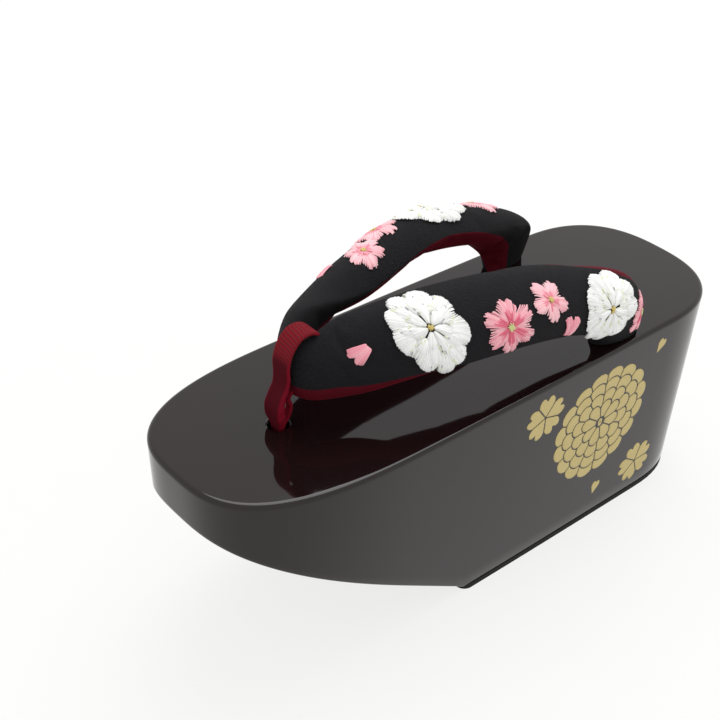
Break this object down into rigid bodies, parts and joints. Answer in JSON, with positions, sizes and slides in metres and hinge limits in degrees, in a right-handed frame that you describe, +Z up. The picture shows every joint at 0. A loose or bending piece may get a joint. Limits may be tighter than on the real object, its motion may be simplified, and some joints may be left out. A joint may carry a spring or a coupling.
{
  "type": "geta sandal",
  "caption": "Lacquered wooden geta sandal for the left foot, with an undercut toe, rubber ground sole, padded crepe straps and a velvet front thong.",
  "frame": {"origin": "centre of the bounding box on the floor, under the middle of the platform", "axes": "+Z up, the toe points to -Y and the heel to +Y, +X is the outer side of the left foot"},
  "size_m": [0.0808, 0.2348, 0.1216],
  "materials": {
    "lacquered_wood": "high-gloss lacquer, very dark maroon",
    "sole_rubber": "matt, fine texture",
    "black_crepe": "crinkled crepe, matt",
    "crimson_velvet": "velvet, soft sheen"
  },
  "bodies": {
    "root": {"platform": "lacquered_wood", "ground_sole": "sole_rubber", "straps": "black_crepe", "front_thong": "crimson_velvet"}
  },
  "joints": []
}
